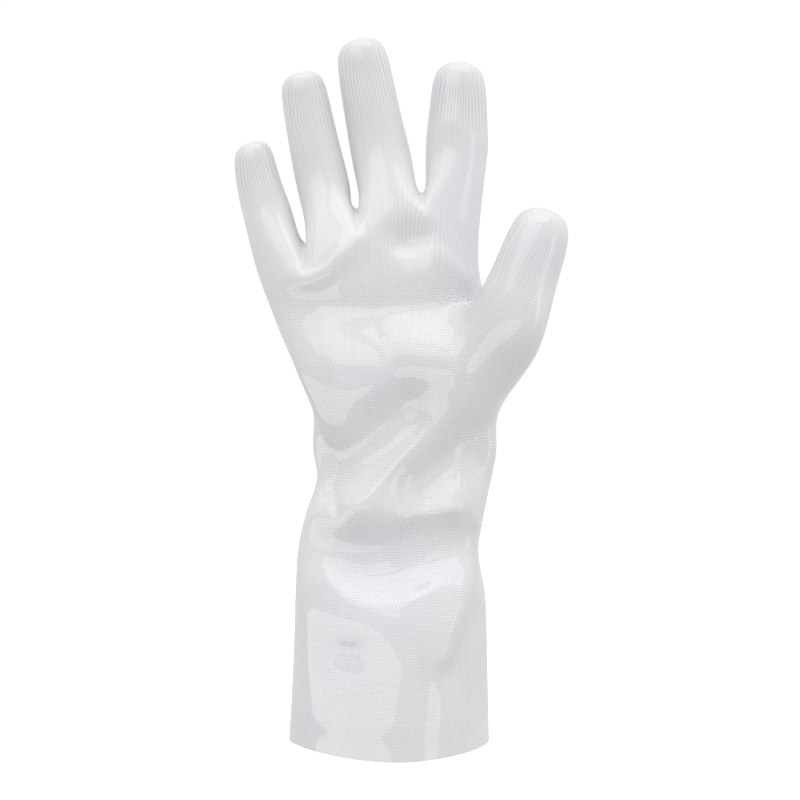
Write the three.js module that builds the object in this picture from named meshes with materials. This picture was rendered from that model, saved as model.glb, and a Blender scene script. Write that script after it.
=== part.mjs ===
import * as THREE from 'three';

// A knitted glove with a silicone coat: a long straight cuff, a palm, four fingers and a thumb.
// The palm faces -Y, the fingers point up +Z and the thumb side is +X.
// The origin is the centre of the cuff's opening. Lengths are in millimetres, angles in degrees.

// Driving dimensions
const BODY_LENGTH = 271; // from the rim of the cuff to the root of the middle finger
const CUFF_WIDTH = 100;
const CUFF_DEPTH = 86;
const WRIST_WIDTH = 88;
const WRIST_DEPTH = 64;
const PALM_WIDTH = 112;
const PALM_DEPTH = 46;
const PINKY_LENGTH = 49;
const PINKY_WIDTH = 23;
const RING_LENGTH = 75;
const RING_WIDTH = 25;
const MIDDLE_LENGTH = 80;
const MIDDLE_WIDTH = 28;
const INDEX_LENGTH = 63;
const INDEX_WIDTH = 30.5;
const THUMB_LENGTH = 62;
const THUMB_WIDTH = 32;
const COAT_WALL = 0.9;
const KNIT_WALL = 0.9;
const CLEARANCE = 0.3; // between the coat and the knit inside it

// The cage that the smooth surface is worked out from
const FRONT_COLUMNS = 8; // two for each finger, and as many on the back
const COLUMNS = 2 * FRONT_COLUMNS + 2; // with one on each side
const FINGER_SIDES = 6;
const THUMB_SIDES = 8;
const FIT_ROUNDS = 14; // how often the cage is moved until the surface passes through its sections
const FINGER_DEPTH = 0.9; // depth of a finger as a share of its width
const FIRST_RING = 0.2; // where a finger's first ring stands, as a share of its length
const DOME = 1.12; // length of a fingertip's dome as a share of its radius
const DOME_FOOT = { drop: 0.32, radius: 1 }; // ring below the dome, as shares of the tip's radius
const DOME_TOP = { rise: 0.74, radius: 0.74 }; // ring on the dome, from which it closes over
const WEB_HALF = 0.016; // half the width of a web between two fingers, as a share of PALM_WIDTH
const WEB_DROP = 0.11; // how far the skin falls from a web to the palm, as a share of PALM_WIDTH

const COLOURS = { coat: '#eef0f2', knit: '#f4f3ef' };

// Turns a table with named columns into a list of objects.
function rows(columns, table) {
  return table.map((row) => Object.fromEntries(columns.map((name, index) => [name, row[index]])));
}

// Sections of the body, from the rim up. Each row's up is a share of BODY_LENGTH, its left and right are
// shares of the width it follows and its front and back are shares of the depth it follows. Its bend is the
// exponent of its oval, its fan says how far its columns gather under the fingers, its pad is how far the
// ball of the thumb pushes the front forward, as a share of the depth, and its skew is how far the middle
// of its front stands to the right, as a share of the width.
const SECTIONS = rows(
  ['up', 'width', 'left', 'right', 'depth', 'front', 'back', 'bend', 'fan', 'pad', 'skew'],
  [
    [0, CUFF_WIDTH, -0.5, 0.5, CUFF_DEPTH, -0.5, 0.5, 1.6, 0, 0, 0.036],
    [0.135, CUFF_WIDTH, -0.48, 0.492, CUFF_DEPTH, -0.48, 0.48, 1.75, 0, 0, 0.025],
    [0.245, CUFF_WIDTH, -0.47, 0.485, CUFF_DEPTH, -0.44, 0.45, 1.9, 0, 0, 0.01],
    [0.295, WRIST_WIDTH, -0.528, 0.534, WRIST_DEPTH, -0.57, 0.57, 2, 0.05, 0, 0],
    [0.343, WRIST_WIDTH, -0.519, 0.51, WRIST_DEPTH, -0.53, 0.54, 2, 0.1, 0, 0],
    [0.391, WRIST_WIDTH, -0.494, 0.526, WRIST_DEPTH, -0.5, 0.51, 2, 0.2, 0, 0],
    [0.439, WRIST_WIDTH, -0.45, 0.555, WRIST_DEPTH, -0.48, 0.49, 2.05, 0.3, 0.02, 0],
    [0.487, WRIST_WIDTH, -0.408, 0.583, WRIST_DEPTH, -0.46, 0.46, 2.1, 0.4, 0.05, 0],
    [0.542, WRIST_WIDTH, -0.432, 0.608, WRIST_DEPTH, -0.43, 0.43, 2.15, 0.5, 0.09, 0],
    [0.613, PALM_WIDTH, -0.344, 0.499, PALM_DEPTH, -0.55, 0.55, 2.2, 0.65, 0.16, 0],
    [0.708, PALM_WIDTH, -0.442, 0.46, PALM_DEPTH, -0.5, 0.52, 2.25, 0.8, 0.3, 0],
    [0.801, PALM_WIDTH, -0.534, 0.455, PALM_DEPTH, -0.45, 0.48, 2.35, 0.92, 0.05, 0],
    [0.886, PALM_WIDTH, -0.595, 0.4, PALM_DEPTH, -0.4, 0.42, 2.5, 1, 0, 0],
  ],
);
const KNUCKLE = SECTIONS.length - 1;
const THUMB_ROWS = [9, 10, 11]; // the sections that the thumb's opening spans
const THUMB_COLUMNS = [7, 8, 9]; // the columns that it spans, the last one on the side
const THUMB_HEEL = { across: 0.578, forward: 0.25 }; // outer edge of the opening, as shares of the palm
const PAD_SIDE = 0.5; // how much of the pad the side column takes
const PAD_REACH = 0.8; // where across the front the pad is whole

// Where the front columns stand on the knuckle section, from -1 on the left to 1 on the right
const FANNED = [-0.87, -0.62, -0.5, -0.15, -0.03, 0.43, 0.55, 0.88];

// Fingers from the little one to the index. Root and up are shares of PALM_WIDTH and BODY_LENGTH, lean is
// the tilt to the right, bow bends the middle to the right as a share of the width, base and tip are its
// widths there as shares of its own width, and curl is how far the tip leans forward, as a share of length.
const FINGERS = rows(
  ['name', 'length', 'width', 'root', 'up', 'lean', 'bow', 'base', 'tip', 'curl'],
  [
    ['pinky', PINKY_LENGTH, PINKY_WIDTH, -0.506, 0.926, -14, -0.07, 1.06, 0.92, 0.1],
    ['ring', RING_LENGTH, RING_WIDTH, -0.258, 0.958, -11.6, -0.03, 1.05, 0.93, 0.1],
    ['middle', MIDDLE_LENGTH, MIDDLE_WIDTH, 0.004, 1, -11.2, -0.02, 1.06, 0.94, 0.1],
    ['index', INDEX_LENGTH, INDEX_WIDTH, 0.292, 1.015, 2, 0.015, 1, 0.92, 0.1],
  ],
);

// Crotches between neighbouring fingers, as shares of PALM_WIDTH and BODY_LENGTH
const CROTCHES = rows(
  ['across', 'up'],
  [
    [-0.379, 0.926],
    [-0.147, 0.985],
    [0.143, 1.014],
  ],
);
const OUTER_KNUCKLES = { left: 0.872, right: 0.92 }; // heights of the knuckle section at its two ends
const LEFT_RISE = 0.4; // how far the first column climbs from the left end towards the first crotch

// Rings of the thumb from its root. Across and forward are shares of PALM_WIDTH and PALM_DEPTH, up is
// a share of BODY_LENGTH, wide and deep are shares of THUMB_WIDTH, lean tilts the ring to the right and
// pitch turns its front down.
const THUMB_ROOT = rows(
  ['across', 'forward', 'up', 'wide', 'deep', 'lean', 'pitch'],
  [
    [0.506, -0.69, 0.762, 1.12, 1, 26, 42],
    [0.568, -0.76, 0.832, 1, 0.93, 20, 16],
  ],
);
const THUMB_FREE = 0.59; // share of THUMB_LENGTH above its root
const THUMB_LEAN = 19; // tilt of the thumb above its root
const THUMB_PITCH = 6;
const THUMB_CURL = 0.1; // how far its tip leans forward, as a share of THUMB_LENGTH
const THUMB_TIP = 0.93; // width of its tip as a share of THUMB_WIDTH

const radians = THREE.MathUtils.degToRad;
const mix = THREE.MathUtils.lerp;

// Place on an oval of the given exponent: across runs from -1 to 1, the result from 0 to 1.
function ovalDepth(across, bend) {
  return Math.pow(Math.max(0, 1 - Math.pow(Math.abs(across), bend)), 1 / bend);
}

// Where a front column stands between the two sides when the columns are spread evenly.
function evenColumn(index) {
  return -Math.cos((Math.PI * (index + 1)) / (FRONT_COLUMNS + 1));
}

// Height of the knuckle section at a front column: below the crotch between two fingers.
function knuckleHeight(index) {
  const underCrotch = (crotch) => crotch.up * BODY_LENGTH - WEB_DROP * PALM_WIDTH;
  if (index === 0) return mix(OUTER_KNUCKLES.left * BODY_LENGTH, underCrotch(CROTCHES[0]), LEFT_RISE);
  if (index === FRONT_COLUMNS - 1) return OUTER_KNUCKLES.right * BODY_LENGTH;
  return underCrotch(CROTCHES[Math.floor((index - 1) / 2)]);
}

// A point of the body's cage: column 0 is the left side, then the front, the right side and the back.
function bodyPoint(sectionIndex, column) {
  const s = SECTIONS[sectionIndex];
  const middle = (0.5 * (s.left + s.right)) * s.width;
  const half = (0.5 * (s.right - s.left)) * s.width;
  const knuckle = sectionIndex === KNUCKLE;
  if (sectionIndex === THUMB_ROWS[1] && column === THUMB_COLUMNS[2]) {
    const { across, forward } = THUMB_HEEL;
    return new THREE.Vector3(across * PALM_WIDTH, -forward * PALM_DEPTH, s.up * BODY_LENGTH);
  }
  if (column === 0 || column === FRONT_COLUMNS + 1) {
    const side = column === 0 ? -1 : 1;
    const ends = side < 0 ? OUTER_KNUCKLES.left : OUTER_KNUCKLES.right;
    const forward = side > 0 ? PAD_SIDE * s.pad * s.depth : 0;
    return new THREE.Vector3(middle + side * half, -forward, (knuckle ? ends : s.up) * BODY_LENGTH);
  }
  const front = column <= FRONT_COLUMNS;
  const index = front ? column - 1 : COLUMNS - 1 - column;
  const across = mix(evenColumn(index), FANNED[index], s.fan);
  const reach = ovalDepth(across, s.bend);
  const pad = front ? s.pad * THREE.MathUtils.smoothstep(across, 0, PAD_REACH) : 0;
  const y = ((front ? s.front : s.back) * reach - pad) * s.depth;
  const z = knuckle ? knuckleHeight(index) : s.up * BODY_LENGTH;
  const x = middle + half * across + (front ? s.skew * reach * s.width : 0);
  return new THREE.Vector3(x, y, z);
}

// A ring of points round a finger, counter-clockwise from its left as seen from its tip.
function ringPoints(sides, centre, halfWidth, halfDepth, lean, pitch) {
  const right = new THREE.Vector3(Math.cos(radians(lean)), 0, -Math.sin(radians(lean)));
  const back = new THREE.Vector3(0, Math.cos(radians(pitch)), Math.sin(radians(pitch)));
  return Array.from({ length: sides }, (_, index) => {
    const angle = Math.PI + (2 * Math.PI * index) / sides;
    return centre
      .clone()
      .addScaledVector(right, halfWidth * Math.cos(angle))
      .addScaledVector(back, halfDepth * Math.sin(angle));
  });
}

// Where the last two rings of a finger stand along it, and their radii.
function domeStations(length, tipRadius) {
  const straight = length - DOME * tipRadius;
  return [
    { along: straight - DOME_FOOT.drop * tipRadius, radius: DOME_FOOT.radius * tipRadius },
    { along: straight + DOME_TOP.rise * tipRadius, radius: DOME_TOP.radius * tipRadius },
  ];
}

// Rings from a finger's root to its tip, the last two on the dome of the tip.
function fingerRings(f) {
  const first = { along: FIRST_RING * f.length, radius: 0.5 * f.width * f.base };
  const dome = domeStations(f.length, 0.5 * f.width * f.tip);
  const half = { along: 0.5 * (first.along + dome[0].along), radius: 0.5 * f.width };
  return [first, half, ...dome].map(({ along, radius }) => {
    const share = along / f.length;
    const bow = 4 * f.bow * f.width * share * (1 - share);
    const centre = new THREE.Vector3(
      f.root * PALM_WIDTH + along * Math.sin(radians(f.lean)) + bow,
      -f.curl * f.length * share * share,
      f.up * BODY_LENGTH + along * Math.cos(radians(f.lean)),
    );
    return ringPoints(FINGER_SIDES, centre, radius, radius * FINGER_DEPTH, f.lean, 0);
  });
}

// Rings of the thumb: two tilted ones at its root, then as on a finger.
function thumbRings() {
  const root = THUMB_ROOT.map((r) => ({
    centre: new THREE.Vector3(r.across * PALM_WIDTH, r.forward * PALM_DEPTH, r.up * BODY_LENGTH),
    wide: 0.5 * r.wide * THUMB_WIDTH,
    deep: 0.5 * r.deep * THUMB_WIDTH,
    lean: r.lean,
    pitch: r.pitch,
  }));
  const start = root[root.length - 1].centre;
  const tilt = radians(THUMB_LEAN);
  const direction = new THREE.Vector3(Math.sin(tilt), -THUMB_CURL, Math.cos(tilt));
  const dome = domeStations(THUMB_FREE * THUMB_LENGTH, 0.5 * THUMB_TIP * THUMB_WIDTH);
  const upper = dome.map(({ along, radius }) => ({
    centre: start.clone().addScaledVector(direction, along),
    wide: radius,
    deep: radius * FINGER_DEPTH,
    lean: THUMB_LEAN,
    pitch: THUMB_PITCH,
  }));
  return [...root, ...upper].map((r) => ringPoints(THUMB_SIDES, r.centre, r.wide, r.deep, r.lean, r.pitch));
}

// Joins a loop of cage points to rings that follow it, and closes the last ring.
function addTube(cage, loop, rings) {
  let below = loop;
  for (const ring of rings) {
    const above = ring.map((point) => cage.points.push(point) - 1);
    above.forEach((corner, k) => {
      const next = (k + 1) % above.length;
      cage.faces.push([below[k], below[next], above[next], corner]);
    });
    below = above;
  }
  cage.faces.push(below);
}

// The cage of the whole glove: points that the surface passes through, and faces between them.
function buildCage() {
  const cage = { points: [], faces: [] };
  const hidden = (row, column) => row === THUMB_ROWS[1] && column === THUMB_COLUMNS[1];
  const body = SECTIONS.map((_, row) =>
    Array.from({ length: COLUMNS }, (__, column) =>
      hidden(row, column) ? -1 : cage.points.push(bodyPoint(row, column)) - 1,
    ),
  );
  for (let row = 0; row < KNUCKLE; row++) {
    for (let column = 0; column < COLUMNS; column++) {
      const next = (column + 1) % COLUMNS;
      const face = [body[row][column], body[row][next], body[row + 1][next], body[row + 1][column]];
      if (!face.includes(-1)) cage.faces.push(face);
    }
  }
  const knuckle = body[KNUCKLE];
  const webs = CROTCHES.map(({ across, up }) =>
    [-1, 1].map((side) => {
      const x = (across + side * WEB_HALF) * PALM_WIDTH;
      return cage.points.push(new THREE.Vector3(x, 0, up * BODY_LENGTH)) - 1;
    }),
  );
  FINGERS.forEach((finger, i) => {
    const left = i === 0 ? knuckle[0] : webs[i - 1][1];
    const right = i === FINGERS.length - 1 ? knuckle[FRONT_COLUMNS + 1] : webs[i][0];
    const front = [knuckle[1 + 2 * i], knuckle[2 + 2 * i]];
    const back = [knuckle[COLUMNS - 2 - 2 * i], knuckle[COLUMNS - 1 - 2 * i]];
    addTube(cage, [left, ...front, right, ...back], fingerRings(finger));
    if (i === FINGERS.length - 1) return;
    const web = webs[i];
    cage.faces.push([front[1], knuckle[3 + 2 * i], web[1], web[0]]);
    cage.faces.push([web[0], web[1], knuckle[COLUMNS - 3 - 2 * i], back[0]]);
  });
  const [low, mid, high] = THUMB_ROWS.map((row) => THUMB_COLUMNS.map((column) => body[row][column]));
  addTube(cage, [mid[0], ...low, mid[2], high[2], high[1], high[0]], thumbRings());
  return cage;
}

// A name for the edge between two points, whichever comes first.
function edgeKey(a, b) {
  return a < b ? `${a}_${b}` : `${b}_${a}`;
}

// Lists the edges of a mesh with the faces on each.
function meshEdges(faces) {
  const edges = new Map();
  faces.forEach((face, f) => {
    face.forEach((a, k) => {
      const b = face[(k + 1) % face.length];
      const key = edgeKey(a, b);
      if (!edges.has(key)) edges.set(key, { ends: [a, b], faces: [], index: edges.size });
      edges.get(key).faces.push(f);
    });
  });
  return edges;
}

// The mean of some points, each as often as its weight says, or once.
function average(points, weights = points.map(() => 1)) {
  const sum = new THREE.Vector3();
  points.forEach((point, k) => sum.addScaledVector(point, weights[k]));
  return sum.divideScalar(weights.reduce((total, weight) => total + weight, 0));
}

// One Catmull-Clark step: every face becomes quads round its centre, and the rim is a spline of its own.
function subdivide({ points, faces }) {
  const edges = meshEdges(faces);
  const centres = faces.map((face) => average(face.map((a) => points[a])));
  const around = points.map(() => ({ edges: [], faces: [] }));
  faces.forEach((face, f) => face.forEach((a) => around[a].faces.push(f)));
  for (const edge of edges.values()) edge.ends.forEach((a) => around[a].edges.push(edge));
  const far = (edge, a) => points[edge.ends[0] === a ? edge.ends[1] : edge.ends[0]];
  const corners = points.map((point, a) => {
    const rim = around[a].edges.filter((edge) => edge.faces.length === 1);
    if (rim.length) return average([point, far(rim[0], a), far(rim[1], a)], [6, 1, 1]);
    const n = around[a].faces.length;
    const inFaces = average(around[a].faces.map((f) => centres[f]));
    const inEdges = average(around[a].edges.map((edge) => average(edge.ends.map((b) => points[b]))));
    return average([point, inFaces, inEdges], [n - 3, 1, 2]);
  });
  const halves = [...edges.values()].map(({ ends, faces: sides }) => {
    const both = ends.map((a) => points[a]);
    return average(sides.length === 1 ? both : [...both, ...sides.map((f) => centres[f])]);
  });
  const firstHalf = points.length;
  const firstCentre = firstHalf + halves.length;
  const halfway = (a, b) => firstHalf + edges.get(edgeKey(a, b)).index;
  const quads = faces.flatMap((face, f) =>
    face.map((a, k) => {
      const next = face[(k + 1) % face.length];
      const last = face[(k + face.length - 1) % face.length];
      return [a, halfway(a, next), firstCentre + f, halfway(last, a)];
    }),
  );
  return { points: [...corners, ...halves, ...centres], faces: quads };
}

// Moves each point of a mesh of quads to where endless subdivision would carry it.
function toLimit({ points, faces }) {
  const sums = points.map(() => ({ n: 0, next: new THREE.Vector3(), opposite: new THREE.Vector3() }));
  const edges = meshEdges(faces);
  const rim = new Map();
  for (const { ends, faces: sides } of edges.values()) {
    const [a, b] = ends;
    sums[a].next.add(points[b]);
    sums[b].next.add(points[a]);
    if (sides.length > 1) continue;
    for (const [from, to] of [[a, b], [b, a]]) rim.set(from, [...(rim.get(from) ?? []), points[to]]);
  }
  for (const face of faces) {
    face.forEach((a, k) => {
      sums[a].n += 1;
      sums[a].opposite.add(points[face[(k + 2) % 4]]);
    });
  }
  const moved = points.map((point, a) => {
    if (rim.has(a)) return average([point, ...rim.get(a)], [4, 1, 1]);
    const { n, next, opposite } = sums[a];
    const weighted = point.clone().multiplyScalar(n * n).addScaledVector(next, 4).add(opposite);
    return weighted.divideScalar(n * (n + 5));
  });
  return { points: moved, faces };
}

// The smooth surface through the cage's points: the cage is shifted by what the surface misses, round
// after round.
function fitSurface(cage) {
  const targets = cage.points;
  let points = targets.map((point) => point.clone());
  for (let round = 0; round < FIT_ROUNDS; round++) {
    const reached = toLimit(subdivide({ points, faces: cage.faces })).points;
    points = points.map((point, a) => point.clone().add(targets[a]).sub(reached[a]));
  }
  return toLimit(subdivide({ points, faces: cage.faces }));
}

// Folds and dents of the front, as paths of points across and up, shares of WRIST_WIDTH and BODY_LENGTH.
// Height is a share of WRIST_DEPTH, below 0 for a valley, and width a share of WRIST_WIDTH.
const FOLDS = rows(
  ['name', 'height', 'width', 'path'],
  [
    ['smile', 0.045, 0.065, [[-0.46, 0.34], [-0.36, 0.3], [-0.13, 0.264], [0.09, 0.261], [0.38, 0.324]]],
    ['above_smile', -0.05, 0.08, [[-0.45, 0.38], [-0.2, 0.385], [0.15, 0.388], [0.36, 0.39]]],
    ['thenar_edge', 0.045, 0.06, [[0.23, 0.63], [0.22, 0.565], [0.02, 0.5], [-0.11, 0.45], [-0.26, 0.4]]],
    ['under_thumb', -0.05, 0.07, [[0.6, 0.6], [0.46, 0.57], [0.28, 0.52], [0.06, 0.47]]],
    ['heel_left', -0.045, 0.08, [[-0.4, 0.525], [-0.2, 0.525]]],
    ['right_side', 0.045, 0.07, [[0.4, 0.4], [0.44, 0.34], [0.38, 0.27], [0.3, 0.19], [0.24, 0.12]]],
    ['right_valley', -0.025, 0.07, [[0.5, 0.27], [0.4, 0.16]]],
    ['left_bulge', 0.05, 0.08, [[-0.42, 0.46], [-0.44, 0.41]]],
    ['palm_dimple', -0.05, 0.1, [[0.04, 0.955], [0.08, 0.94]]],
    ['under_pinky', 0.03, 0.07, [[-0.54, 0.88], [-0.41, 0.885], [-0.32, 0.905]]],
  ],
);

const FOLD_FREE = 0.02; // share of BODY_LENGTH above the rim that no fold reaches
const FOLD_FADE = [0.1, 0.6]; // how far a point faces forward where folds begin and where they are whole

// How far a fold lifts a point: a rounded ridge or valley that fades at both ends of its path.
function foldLift(fold, point) {
  let nearest = Infinity;
  for (let k = 0; k + 1 < fold.path.length; k++) {
    const [from, to] = [fold.path[k], fold.path[k + 1]].map(
      ([across, up]) => new THREE.Vector3(across * WRIST_WIDTH, 0, up * BODY_LENGTH),
    );
    const line = new THREE.Line3(from, to);
    const flat = new THREE.Vector3(point.x, 0, point.z);
    nearest = Math.min(nearest, line.closestPointToPoint(flat, true, new THREE.Vector3()).distanceTo(flat));
  }
  const share = nearest / (fold.width * WRIST_WIDTH);
  return fold.height * WRIST_DEPTH * Math.exp(-share * share);
}

const LEAST_LEAN = 0.8; // limit to how much longer a wall's direction gets at a sharp turn

// Normals of a mesh's points, longer where the faces round a point turn: walls keep their thickness.
function wallDirections({ points, faces }) {
  const flat = faces.map((face) => {
    const [a, b, c, d] = face.map((index) => points[index]);
    return c.clone().sub(a).cross(d.clone().sub(b)).normalize();
  });
  const touching = points.map(() => []);
  faces.forEach((face, f) => face.forEach((a) => touching[a].push(f)));
  return touching.map((list) => {
    const normal = average(list.map((f) => flat[f])).normalize();
    const lean = list.reduce((sum, f) => sum + normal.dot(flat[f]), 0) / list.length;
    return normal.divideScalar(Math.max(lean, LEAST_LEAN));
  });
}

// Presses the folds into the front of the surface. The rim stays where it is.
function withFolds(surface) {
  const directions = wallDirections(surface);
  const points = surface.points.map((point, a) => {
    const facing = THREE.MathUtils.smoothstep(-directions[a].y, ...FOLD_FADE);
    if (facing === 0 || point.z < FOLD_FREE * BODY_LENGTH) return point;
    const lift = FOLDS.reduce((sum, fold) => sum + foldLift(fold, point), 0);
    return point.clone().addScaledVector(directions[a], facing * lift);
  });
  return { points, faces: surface.faces };
}

// The surface moved inwards by a depth, with its rim kept in the plane of the opening.
function inwards(surface, directions, depth) {
  const onRim = new Set();
  for (const { ends, faces: sides } of meshEdges(surface.faces).values()) {
    if (sides.length === 1) ends.forEach((a) => onRim.add(a));
  }
  return surface.points.map((point, a) => {
    const direction = directions[a].clone();
    if (onRim.has(a)) direction.setZ(0).normalize();
    return point.clone().addScaledVector(direction, -depth);
  });
}

// Cuts each quad of a surface along its shorter diagonal.
function triangles({ points, faces }) {
  return faces.flatMap(([a, b, c, d]) => {
    const short = points[a].distanceTo(points[c]) <= points[b].distanceTo(points[d]);
    return short ? [[a, b, c], [a, c, d]] : [[a, b, d], [b, c, d]];
  });
}

// A closed wall between two depths under the surface, open at the rim.
function wallGeometry(surface, directions, outerDepth, innerDepth) {
  const outer = inwards(surface, directions, outerDepth);
  const inner = inwards(surface, directions, innerDepth);
  const count = outer.length;
  const index = triangles(surface).flatMap(([a, b, c]) => [a, b, c, a + count, c + count, b + count]);
  for (const { ends, faces: sides } of meshEdges(surface.faces).values()) {
    const [a, b] = ends;
    if (sides.length === 1) index.push(b, a, a + count, b, a + count, b + count);
  }
  const geometry = new THREE.BufferGeometry();
  const position = [...outer, ...inner].flatMap((point) => point.toArray());
  geometry.setAttribute('position', new THREE.Float32BufferAttribute(position, 3));
  geometry.setIndex(index);
  geometry.computeVertexNormals();
  return geometry;
}

function wallMesh(name, geometry, color, roughness) {
  const mesh = new THREE.Mesh(geometry, new THREE.MeshStandardMaterial({ color, roughness, metalness: 0 }));
  mesh.name = name;
  return mesh;
}

function buildGlove() {
  const surface = withFolds(fitSurface(buildCage()));
  const directions = wallDirections(surface);
  const knitTop = COAT_WALL + CLEARANCE;
  const coat = wallGeometry(surface, directions, 0, COAT_WALL);
  const knit = wallGeometry(surface, directions, knitTop, knitTop + KNIT_WALL);
  const glove = new THREE.Group();
  glove.add(wallMesh('silicone_coat', coat, COLOURS.coat, 0.3));
  glove.add(wallMesh('knit_liner', knit, COLOURS.knit, 0.9));
  return glove;
}

export default buildGlove();
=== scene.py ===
"""A heat-resistant glove with a long straight cuff: a milky silicone coat over a white cotton knit.

The glove stands upright in its worn shape, with its palm towards -Y, its fingers up +Z and its thumb on
the +X side. Its surface is worked out in millimetres from sections of the body and rings of the fingers,
and handed to Blender in metres, in the axes of the frame.
"""

import logging
import math
from dataclasses import dataclass, field, replace
from enum import Enum

import bpy
import numpy as np
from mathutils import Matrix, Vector


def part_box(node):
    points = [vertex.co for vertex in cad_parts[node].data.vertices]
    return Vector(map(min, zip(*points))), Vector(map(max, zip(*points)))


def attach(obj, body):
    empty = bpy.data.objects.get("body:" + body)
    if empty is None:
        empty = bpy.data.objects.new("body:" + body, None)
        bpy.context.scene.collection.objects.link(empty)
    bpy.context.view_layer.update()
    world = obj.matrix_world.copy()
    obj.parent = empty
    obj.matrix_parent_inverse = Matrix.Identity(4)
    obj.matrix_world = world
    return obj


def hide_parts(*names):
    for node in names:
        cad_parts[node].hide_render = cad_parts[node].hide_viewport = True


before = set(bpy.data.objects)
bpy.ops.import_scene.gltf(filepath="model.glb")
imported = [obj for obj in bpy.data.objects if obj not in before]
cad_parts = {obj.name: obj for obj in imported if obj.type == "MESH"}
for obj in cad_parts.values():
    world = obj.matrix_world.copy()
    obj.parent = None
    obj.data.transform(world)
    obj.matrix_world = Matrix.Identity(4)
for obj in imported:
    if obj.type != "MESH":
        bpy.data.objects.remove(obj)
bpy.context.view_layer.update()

log = logging.getLogger("glove")

MM = 0.001

# Driving dimensions of the glove, in millimetres
BODY_LENGTH = 271  # from the rim of the cuff to the root of the middle finger
CUFF_WIDTH = 100
CUFF_DEPTH = 86
WRIST_WIDTH = 88
WRIST_DEPTH = 64
PALM_WIDTH = 112
PALM_DEPTH = 46
COAT_WALL = 0.9
KNIT_WALL = 0.9
CLEARANCE = 0.3  # between the coat and the knit inside it

# The stitches of the knit
WALE = 1.65  # from one column of stitches to the next, in millimetres
COURSE = 1.15  # from one row of stitches to the next


class Side(Enum):
    """Where a point's row says how far round it lies, from the middle of the front or of the back."""

    FRONT = 3
    BACK = 4


# What is kept of each point of the surface: its place, how far round it lies from the middle of the front
# and of the back, how far up the knit it lies, and how clearly the stitches show there.
UP_KNIT = 5
SHOWN = 6


def smoothstep(values: np.ndarray, low: float, high: float) -> np.ndarray:
    """Rises smoothly from 0 at low to 1 at high.

    Args:
        values: Where to work it out.
        low: Value at which the result leaves 0.
        high: Value at which it reaches 1.

    Returns:
        The result at each value.
    """
    share = np.clip((np.asarray(values) - low) / (high - low), 0, 1)
    return share * share * (3 - 2 * share)


def summed(values: np.ndarray, slots: np.ndarray, size: int) -> np.ndarray:
    """Adds up the rows that belong to the same slot.

    Args:
        values: Rows to add.
        slots: Slot of each row.
        size: Number of slots.

    Returns:
        One row for each slot.
    """
    columns = [np.bincount(slots, weights=column, minlength=size) for column in values.T]
    return np.stack(columns, axis=1)


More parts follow.
